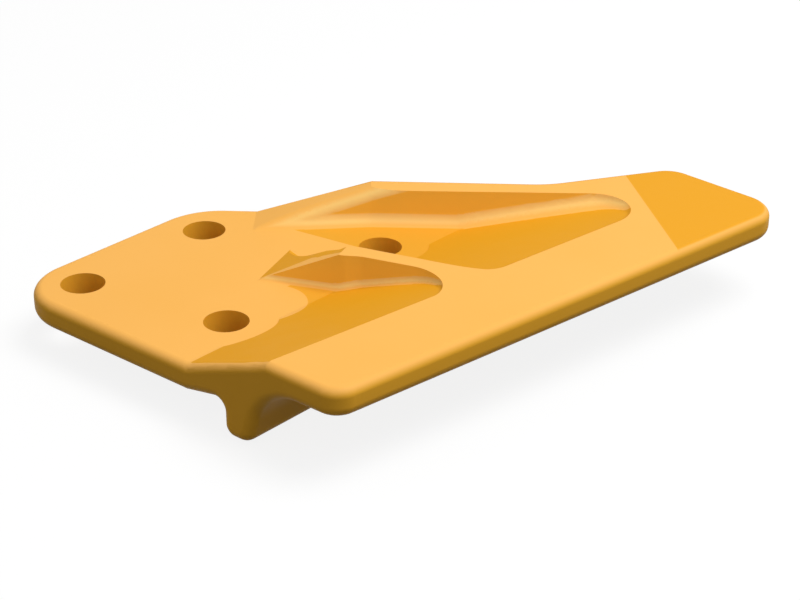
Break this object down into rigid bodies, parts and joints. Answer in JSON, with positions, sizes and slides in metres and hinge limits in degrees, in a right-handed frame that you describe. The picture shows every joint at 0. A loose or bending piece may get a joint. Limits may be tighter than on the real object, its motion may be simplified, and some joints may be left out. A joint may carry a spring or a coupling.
{
  "type": "bucket side cutter",
  "caption": "Cast side cutter that bolts to the side of a digging bucket: a flat seat with bolt holes, a thick raised blade, scalloped recesses and a rib below.",
  "frame": {"origin": "centre of the back bolt hole at the square end, on the seat that lies on the bucket's side plate", "axes": "+Z away from the side plate, +X along the rows of holes towards the tip, -Y towards the cutting edge"},
  "size_m": [0.3666, 0.3078, 0.058],
  "materials": {
    "paint": "smooth satin orange-yellow paint"
  },
  "bodies": {
    "root": {"side_cutter": "paint"}
  },
  "joints": []
}
